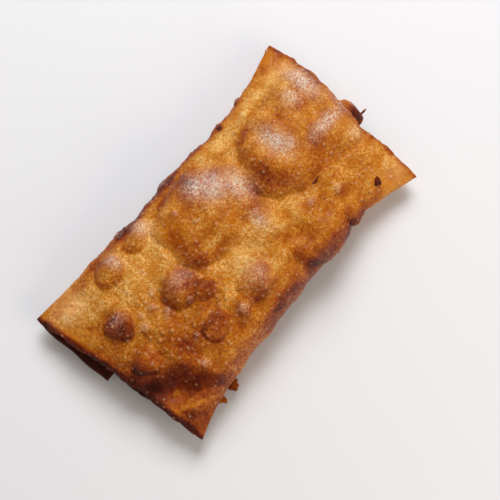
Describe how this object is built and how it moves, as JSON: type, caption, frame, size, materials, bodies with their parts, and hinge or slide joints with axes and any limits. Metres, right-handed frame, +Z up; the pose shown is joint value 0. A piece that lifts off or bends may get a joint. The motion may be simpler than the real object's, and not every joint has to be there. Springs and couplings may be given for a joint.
{
  "type": "spring roll",
  "caption": "Large flat fried spring roll, a folded packet of blistered wheat dough with open layered ends.",
  "frame": {"origin": "on the table under the middle of the packet's outline", "axes": "+Z up, +X along the packet towards the end with the burnt shred, +Y towards the long side with the gentle slope"},
  "size_m": [0.1768, 0.0956, 0.0329],
  "materials": {
    "fried_dough": "browned and slightly oily"
  },
  "bodies": {
    "root": {"spring_roll": "fried_dough"}
  },
  "joints": []
}
